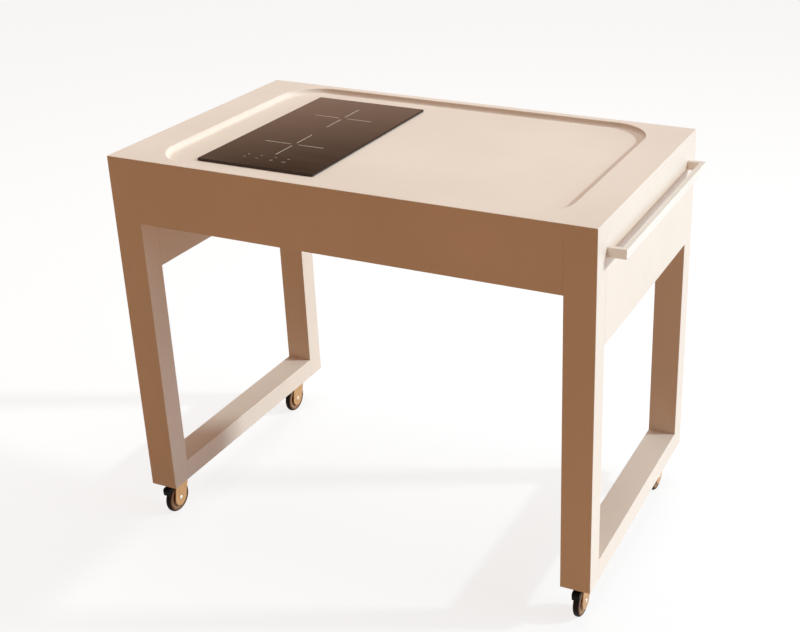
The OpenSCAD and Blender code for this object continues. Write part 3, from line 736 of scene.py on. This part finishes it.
# %% Fork sizes and outline
TRAIL = 26 * MM
axle_z = joint_at["roll_front_left"].z
fork_low, fork_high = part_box("fork_front_left")
tyre_low, tyre_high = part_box("tyre_front_left")
TYRE_HALF = (tyre_high.x - tyre_low.x) / 2
FORK_T, CHEEK_R, CROWN_R = 2.5 * MM, 20 * MM, (fork_high.x - fork_low.x) / 2
TYRE_GAP = 1 * MM
CHEEK_IN = TYRE_HALF + TYRE_GAP
CHEEK_OUT = CHEEK_IN + FORK_T
CROWN_FRONT, CROWN_REAR, CHEEK_FRONT = -32.0 * MM, 8 * MM, -39 * MM
BEND_R = 4.5 * MM
crown_top = fork_high.z
crown_under = crown_top - FORK_T


def tangent_angle(point, centre, radius, side):
    """Where, in degrees about the centre, a line from the point touches the circle."""
    away = Vector(point) - Vector(centre)
    half_view = math.acos(radius / away.length)
    return math.degrees(math.atan2(away.y, away.x)) + side * math.degrees(half_view)


def cheek_outline():
    """(y, z) points: front edge, round end about the axle, rear edge and the bend line."""
    axle = (-TRAIL, axle_z)
    front, rear = (CHEEK_FRONT, crown_top), (CROWN_REAR, crown_top - BEND_R)
    start = tangent_angle(front, axle, CHEEK_R, 1)
    end = tangent_angle(rear, axle, CHEEK_R, -1)
    if start < 0:
        start += 360
    while end < start:
        end += 360
    return [front] + arc(axle, CHEEK_R, start, end, 48) + [rear, (CROWN_FRONT, crown_top - BEND_R),
                                                            (CROWN_FRONT, crown_top)]


def crown_section():
    """(x, z) points of the bent crown: a flat bar whose two ends turn down by a quarter circle."""
    bend_z = crown_top - BEND_R
    outside = arc((CHEEK_OUT - BEND_R, bend_z), BEND_R, 0, 90, 8)
    inside = arc((CHEEK_OUT - BEND_R, bend_z), BEND_R - FORK_T, 90, 0, 8)
    right = outside + [(-x, z) for x, z in reversed(outside)]
    return right + [(-x, z) for x, z in reversed(inside)] + inside


print("cheek outline", len(cheek_outline()), "points")

# %% Uniting solids and placing copies at the corners
def united(name, meshes):
    """One watertight mesh out of overlapping solids."""
    made = []
    for i, mesh in enumerate(meshes):
        data = bpy.data.meshes.new(f"{name}_{i}")
        mesh.to_mesh(data)
        mesh.free()
        thing = bpy.data.objects.new(f"{name}_{i}", data)
        bpy.context.scene.collection.objects.link(thing)
        made.append(thing)
    for other in made[1:]:
        join = made[0].modifiers.new("join", "BOOLEAN")
        join.operation, join.solver, join.object = "UNION", "EXACT", other
    depsgraph = bpy.context.evaluated_depsgraph_get()
    whole = bmesh.new()
    whole.from_mesh(made[0].evaluated_get(depsgraph).to_mesh())
    for thing in made:
        bpy.data.objects.remove(thing)
    bmesh.ops.remove_doubles(whole, verts=whole.verts, dist=TOUCHING)
    bmesh.ops.dissolve_limit(whole, angle_limit=SAME_PLANE, verts=whole.verts, edges=whole.edges)
    return whole


def moved(mesh, offset):
    """A shifted copy of a mesh."""
    copy = mesh.copy()
    bmesh.ops.translate(copy, verts=copy.verts, vec=offset)
    return copy


def at_each_corner(stem, node_stem, mesh, finish, edge=0.0, body_stem=None, segments=2):
    """A castor piece at all four swivel axes, standing for the CAD node of the same kind."""
    for corner in CORNERS:
        swivel = joint_at[f"swivel_{corner}"]
        body = f"{body_stem}_{corner}" if body_stem else "frame"
        piece(f"{stem}_{corner}", moved(mesh, Vector((swivel.x, swivel.y, 0))), finish, body,
              [f"{node_stem}_{corner}"], edge, segments=segments)
    mesh.free()


# %% Forks
PIN_R, PIN_PROUD = 1.5 * MM, 0.4 * MM
DISC_STEP = 0.05 * MM


def fork_mesh():
    """The crown's disc stays a hair inside the bar, as faces in one plane can tear a union."""
    cheeks = [prism(cheek_outline(), side * CHEEK_IN, side * CHEEK_OUT, "X") for side in (-1, 1)]
    crown = prism(crown_section(), CROWN_FRONT, CROWN_REAR, "Y")
    under, top = crown_under + DISC_STEP, crown_top - DISC_STEP
    disc = lathe([(under, 0), (under, CROWN_R), (top, CROWN_R), (top, 0)], "Z", (0, 0, 0), 64)
    return united("fork", [crown, *cheeks, disc])


def pin_profile():
    """A pin through both cheeks, its ends set down a little."""
    end, end_r = CHEEK_OUT + PIN_PROUD, PIN_R * 0.8
    return [(-end, 0), (-end, end_r), (-CHEEK_OUT, PIN_R), (CHEEK_OUT, PIN_R), (end, end_r), (end, 0)]


at_each_corner("fork_pressing", "fork", fork_mesh(), golden, 0.5 * MM, "fork")
for corner in CORNERS:
    brake = joint_at[f"brake_{corner}"]
    piece(f"pedal_pin_{corner}", lathe(pin_profile(), "X", brake, 24), bright, f"fork_{corner}")
print("forks made")

# %% [markdown]
# ## Axles, wheels and tyres
#
# These are turned parts, so each is a profile spun about the axle. The axle ends in domed rivet heads,
# the bright dots on the cheeks. The wheel centre has a hub, a thin web and a rim, and the tyre is a
# soft, nearly half-round tread over two narrow flanks.

# %% Turned castor parts
AXLE_R, HEAD_R, HEAD_T = 4 * MM, 5 * MM, 2 * MM
WHEEL_R = axle_z
TYRE_T, RIM_T, WEB_HALF = 8.5 * MM, 4 * MM, 3 * MM
RIM_R = WHEEL_R - TYRE_T
HUB_R, HUB_HALF, BORE_R = 9 * MM, CHEEK_IN - 0.3 * MM, AXLE_R + 0.05 * MM
RIM_HALF, HUB_EASE, WEB_FILLET, RIM_EASE = TYRE_HALF - 1 * MM, 0.8 * MM, 1.5 * MM, 0.6 * MM
TYRE_EASE, SHOULDER = 0.5 * MM, 0.9 * TYRE_HALF


def mirrored(half):
    """A profile that runs from the middle out to +X, closed with its mirror image."""
    return half + [(-along, radius) for along, radius in reversed(half)]


def axle_profile():
    dome = [(CHEEK_OUT + HEAD_T * math.cos(a), HEAD_R * math.sin(a) ** 0.8)
            for a in [math.pi / 2 * i / 6 for i in range(6, -1, -1)]]
    return mirrored([(0, AXLE_R), (CHEEK_OUT, AXLE_R)] + dome)


def wheel_profile():
    rim_under = RIM_R - RIM_T
    hub = [(0, BORE_R), (HUB_HALF, BORE_R), (HUB_HALF, HUB_R - HUB_EASE), (HUB_HALF - HUB_EASE, HUB_R)]
    web = [(WEB_HALF + WEB_FILLET, HUB_R), (WEB_HALF, HUB_R + WEB_FILLET),
           (WEB_HALF, rim_under - WEB_FILLET), (WEB_HALF + WEB_FILLET, rim_under)]
    rim = [(RIM_HALF - RIM_EASE, rim_under), (RIM_HALF, rim_under + RIM_EASE), (RIM_HALF, RIM_R),
           (0, RIM_R)]
    return mirrored(hub + web + rim)


def tyre_profile():
    tread = arc((TYRE_HALF - SHOULDER, WHEEL_R - SHOULDER), SHOULDER, 0, 90, 10)
    flank = [(0, RIM_R), (TYRE_HALF - TYRE_EASE, RIM_R), (TYRE_HALF, RIM_R + TYRE_EASE)]
    return mirrored(flank + tread + [(0, WHEEL_R)])


for corner in CORNERS:
    axle = joint_at[f"roll_{corner}"]
    piece(f"axle_rivet_{corner}", lathe(axle_profile(), "X", axle, 48), bright,
          f"fork_{corner}", [f"axle_{corner}"])
    piece(f"wheel_centre_{corner}", lathe(wheel_profile(), "X", axle), centre_plastic,
          f"wheel_{corner}", [f"wheel_{corner}"])
    piece(f"tyre_tread_{corner}", lathe(tyre_profile(), "X", axle, 128), rubber,
          f"wheel_{corner}", [f"tyre_{corner}"])
print("wheel radius", round(WHEEL_R * 1000, 1), "mm")

# %% [markdown]
# ## Brake pedals
#
# The pedal is a nylon moulding that hooks round the tyre: a barrel on its pin, a flat tread for the
# shoe and a nose that turns down. Its shape has to clear the tyre both when it is up and when it is
# pressed, which the CAD works out, so the piece starts from the CAD solid's own mesh. It gets rounded
# edges and a few ribs across the tread.

# %% Pedals
RIBS, RIB_H, RIB_W, RIB_ROOT = 4, 0.5 * MM, 1.2 * MM, 1 * MM
FIRST_RIB, LAST_RIB = 0.42, 0.92
PEDAL_HALF, RIB_SIDE_GAP = CHEEK_IN - 0.3 * MM, 2 * MM
FROM_HINGE_TO_TREAD, FROM_HINGE_TO_TIP = Vector((0, 0, 2.8 * MM)), Vector((0, -26.6 * MM, 0.4 * MM))


def cad_mesh(node):
    """A copy of a CAD node's mesh with its triangles joined back into whole faces."""
    mesh = bmesh.new()
    mesh.from_mesh(frame["nodes"][node].data)
    bmesh.ops.remove_doubles(mesh, verts=mesh.verts, dist=SAME_POINT)
    bmesh.ops.dissolve_limit(mesh, angle_limit=SAME_PLANE, verts=mesh.verts, edges=mesh.edges)
    return mesh


def pedal_ribs(corner):
    """Raised bars across the pedal's upper face, between its pin and its tip."""
    hinge = joint_at[f"brake_{corner}"]
    back, tip = hinge + FROM_HINGE_TO_TREAD, hinge + FROM_HINGE_TO_TIP
    slope = (tip - back).normalized()
    up = slope.cross(Vector((1, 0, 0))).normalized()
    if up.z < 0:
        up = -up
    run, half = slope * RIB_W / 2, PEDAL_HALF - RIB_SIDE_GAP
    ribs = []
    for i in range(RIBS):
        foot = back.lerp(tip, FIRST_RIB + (LAST_RIB - FIRST_RIB) * i / (RIBS - 1))
        corners = [foot - run - up * RIB_ROOT, foot + run - up * RIB_ROOT,
                   foot + run + up * RIB_H, foot - run + up * RIB_H]
        ribs.append(prism([(c.y, c.z) for c in corners], hinge.x - half, hinge.x + half, "X"))
    return merge(*ribs)


for corner in CORNERS:
    piece(f"brake_pedal_{corner}", cad_mesh(f"pedal_{corner}"), nylon, f"pedal_{corner}",
          [f"pedal_{corner}"], 0.6 * MM)
    piece(f"pedal_ribs_{corner}", pedal_ribs(corner), nylon, f"pedal_{corner}",
          edge=0.2 * MM)
print("pedals", len(CORNERS))

# %% [markdown]
# ## Fixing plates and screws
#
# Above each fork is the plate that screws to the frame, with the ball race pressed into it and the
# kingpin's rivet head below. From the floor you see the race's lip and the screw heads.

# %% Plates, races and screw heads
PLATE_HALF, PLATE_CORNER, PLATE_T = (29 * MM, 40 * MM), 5 * MM, 3 * MM
RACE_R, RACE_GAP, NECK_IN, SUNK = 20 * MM, 0.3 * MM, 1.5 * MM, 0.2 * MM
LIP_H, LIP_IN, LIP_SHARES = 2.4 * MM, 3 * MM, (1.0, 0.7, 0.3, 0.0)
KING_R, KING_HEAD_R, KING_HEAD_T, KING_EASE = 5 * MM, 8 * MM, 2 * MM, 0.8 * MM
PLATE_HOLES, SCREW_R, SCREW_DEEP = (22 * MM, 32 * MM), 2.4 * MM, 11 * MM
SCREW_HEAD_R, SCREW_HEAD_T = 4.56 * MM, 2 * MM
frame_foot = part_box("leg_front_left")[0].z


def race_profile():
    """(height, radius): kingpin head, kingpin, the race's sloping lip and its neck in the plate."""
    race_under = crown_top + RACE_GAP
    neck_top = frame_foot - PLATE_T + SUNK
    head = crown_under - RACE_GAP
    low = head - KING_HEAD_T
    lip = [(race_under + LIP_H * (1 - share), RACE_R - LIP_IN * share) for share in LIP_SHARES]
    return [(low, 0), (low, KING_HEAD_R - KING_EASE), (low + KING_EASE, KING_HEAD_R),
            (head, KING_HEAD_R), (head, KING_R), (race_under, KING_R), *lip,
            (neck_top, RACE_R - NECK_IN), (neck_top, 0)]


def screw_profile():
    """(height, radius): a domed head, as shares of its thickness and radius, and a plain shank."""
    under, tip = frame_foot - PLATE_T, frame_foot + SCREW_DEEP
    dome = [(under - SCREW_HEAD_T * drop, SCREW_HEAD_R * share)
            for drop, share in ((1.0, 0.0), (1.0, 0.55), (0.8, 0.85), (0.4, 1.0), (0.0, 1.0))]
    return dome + [(under, SCREW_R), (tip, SCREW_R), (tip, 0)]


def plate_mesh():
    plate = prism(round_corners(*PLATE_HALF, PLATE_CORNER, 8), frame_foot - PLATE_T, frame_foot, "Z")
    return merge(plate, lathe(race_profile(), "Z", (0, 0, 0)))


at_each_corner("fixing_plate", "plate", plate_mesh(), golden, 0.4 * MM)
screws = []
for corner in CORNERS:
    swivel = joint_at[f"swivel_{corner}"]
    for side_x in (-1, 1):
        for side_y in (-1, 1):
            at = (swivel.x + side_x * PLATE_HOLES[0], swivel.y + side_y * PLATE_HOLES[1], 0)
            screws.append(lathe(screw_profile(), "Z", at, 32))
piece("castor_screw_set", merge(*screws), bright, "frame", ["castor_screws"])
print("plates and", 4 * len(CORNERS), "screws")

# %% [markdown]
# ## Cover, battens and everything under the worktop
#
# These keep their CAD shape. A weld, a planar clean-up and a narrow bevel turn the triangles into
# whole faces with eased edges, and each gets the finish of what it is made of.

# %% Dress the other CAD nodes
DRESSED = {
    "base_cover": (cream_inside, "solid_surface", 0.4),
    "cover_screws": (bright, "bright_steel", 0.3),
    "rail_screws": (bright, "bright_steel", 0.3),
    "cable_gland": (nylon, "black_plastic", 0.4),
    "bearer_left": (timber, "timber", 1.0),
    "bearer_middle": (timber, "timber", 1.0),
    "bearer_right": (timber, "timber", 1.0),
    "batten_front": (timber, "timber", 0.8),
    "batten_rear": (timber, "timber", 0.8),
    "corner_braces": (zinc, "zinc_sheet", 0.4),
    "hob_seal": (foam, "foam", 0.2),
    "hob_tray": (zinc, "zinc_sheet", 0.3),
    "hob_clamps": (zinc, "zinc_sheet", 0.3),
    "coil_plate": (aluminium, "aluminium_sheet", 0.3),
    "coil_front": (copper, "copper_winding", 0.4),
    "coil_rear": (copper, "copper_winding", 0.4),
    "power_board": (board, "circuit_board", 0.2),
    "touch_board": (board, "circuit_board", 0.2),
    "terminal_block": (ivory, "ivory_plastic", 0.5),
    "fan_housing": (nylon, "black_plastic", 0.3),
    "fan_rotor": (nylon, "black_plastic", 0.2),
}
for node, (finish, slot, edge) in DRESSED.items():
    dress(node, finish, slot, edge * MM)
print("dressed", len(DRESSED))

# %% [markdown]
# ## Floor and light
#
# The light is that of a window low on the right, a little behind. It lights the end panel and draws
# the rail's shadow on it. A window is wider than high, so it is two suns side by side, which blur a
# shadow more to the sides than up and down, and a large bluish lamp stands for the sky round them.
# Another large soft lamp overhead lifts the worktop. The glass doesn't mirror that one, because black
# glass would look grey from above. The front faces away from them all, so it is lit only by a dim warm
# fill, as in a room with wooden surfaces. The floor shows as pale and keeps a soft shadow; what it
# bounces back is the warm tone of such a room. Where a ray comes from the camera or from a gloss, the
# room is white at the horizon and falls off upwards, which gives the black glass its sheen.

# %% Which rays see the pale room
def seen_rays(tree):
    """1 where a camera, glossy or transmission ray looks, 0 where light is gathered."""
    path = tree.node("LightPath", out=None)
    camera_ray, glossy_ray, through_ray = [
        Wire(tree.tree, path.outputs[f"Is {kind} Ray"])
        for kind in ("Camera", "Glossy", "Transmission")]
    return tree.math("MAXIMUM", tree.math("MAXIMUM", camera_ray, glossy_ray), through_ray)


# %% Floor
FLOOR_SIZE = 40.0
FLOOR_TONE, FLOOR_GLOW, WARM_BOUNCE = (0.22, 0.22, 0.22, 1), 0.80, (0.50, 0.28, 0.13, 1)


def floor_material():
    """Looked at, a pale floor that dims in a shadow; for the light that it gives back, a warm one."""
    material = bpy.data.materials.new("pale_floor")
    material.use_nodes = True
    tree = Wire(material.node_tree)
    material.node_tree.nodes.clear()
    shaded = tree.node("BsdfDiffuse", None, {"Color": FLOOR_TONE})
    glow = tree.node("Emission", None, {"Color": (1, 1, 1, 1), "Strength": FLOOR_GLOW})
    shown = tree.node("AddShader", None, {0: shaded, 1: glow})
    bounced = tree.node("BsdfDiffuse", None, {"Color": WARM_BOUNCE})
    surface = tree.node("MixShader", None, {0: seen_rays(tree), 1: bounced, 2: shown})
    tree.node("OutputMaterial", None, {"Surface": surface}, out=None)
    return material


floor_mesh = bmesh.new()
bmesh.ops.create_grid(floor_mesh, x_segments=4, y_segments=4, size=FLOOR_SIZE / 2)
floor_data = bpy.data.meshes.new("floor")
floor_mesh.to_mesh(floor_data)
floor_mesh.free()
floor = bpy.data.objects.new("floor", floor_data)
bpy.context.scene.collection.objects.link(floor)
floor_data.materials.append(floor_material())
print("floor", FLOOR_SIZE, "m")

# %% Lamps
TO_KEY, KEY_DISTANCE, KEY_POWER = Vector((1.0, 0.436, 0.58)), 4.0, 1.2
HALF_WINDOW, SUN_WIDTH = 1.3, math.radians(2.6)
KEY_TINT, SKY_TINT, OVERHEAD_TINT = (0.79, 0.95, 1.0), (0.52, 0.77, 1.0), (0.83, 0.93, 1.0)


def lamp(name, kind, at, towards, power, colour, **settings):
    """A lamp that stands at a point and looks towards another."""
    data = bpy.data.lights.new(name, kind)
    data.energy, data.color = power, colour
    for key, value in settings.items():
        setattr(data, key, value)
    thing = bpy.data.objects.new(name, data)
    bpy.context.scene.collection.objects.link(thing)
    thing.location = at
    thing.rotation_euler = (Vector(towards) - Vector(at)).to_track_quat("-Z", "Y").to_euler()
    return thing


for turn in (-HALF_WINDOW, HALF_WINDOW):
    sideways = Matrix.Rotation(math.radians(turn), 3, "Z")
    lamp(f"key_{turn}", "SUN", sideways @ TO_KEY * KEY_DISTANCE, (0, 0, 0), KEY_POWER, KEY_TINT,
         angle=SUN_WIDTH)
overhead = lamp("overhead", "AREA", (-0.2, 1.1, 4.2), (0.0, 0.1, 0.9), 89.0, OVERHEAD_TINT, size=3.0)
overhead.visible_glossy = False
lamp("window", "AREA", (4.0, 0.6, 1.3), (0.5, 0.0, 0.6), 115.0, SKY_TINT, size=3.0)
print("lamps", [light.name for light in bpy.data.lights])

# %% The room round it
WHITE, WALL = (1, 1, 1, 1), (1.0, 0.63, 0.45, 1)
GLOOM, CEILING = (0.20, 0.12, 0.08, 1), (0.30, 0.22, 0.17, 1)
BY_HEIGHT = [(0.16, WHITE), (0.27, WALL), (0.32, GLOOM), (1.0, CEILING)]
WARM_FILL, FILL_STRENGTH = (1.0, 0.516, 0.226, 1), 0.297
world = bpy.data.worlds.new("room")
bpy.context.scene.world = world
world.use_nodes = True
world.node_tree.nodes.clear()
room = Wire(world.node_tree)
up = room.node("SeparateXYZ", None, {0: room.node("TexCoord", out=0)}, out=2)
shell_colour = room.node("ValToRGB", {"stops": BY_HEIGHT}, {0: up})
pale = room.node("Background", None, {"Color": shell_colour, "Strength": 1.0})
warm = room.node("Background", None, {"Color": WARM_FILL, "Strength": FILL_STRENGTH})
mixed = room.node("MixShader", None, {0: seen_rays(room), 1: warm, 2: pale})
room.node("OutputWorld", None, {"Surface": mixed}, out=None)
bpy.context.scene.view_settings.view_transform = "Standard"
print("world", world.name)
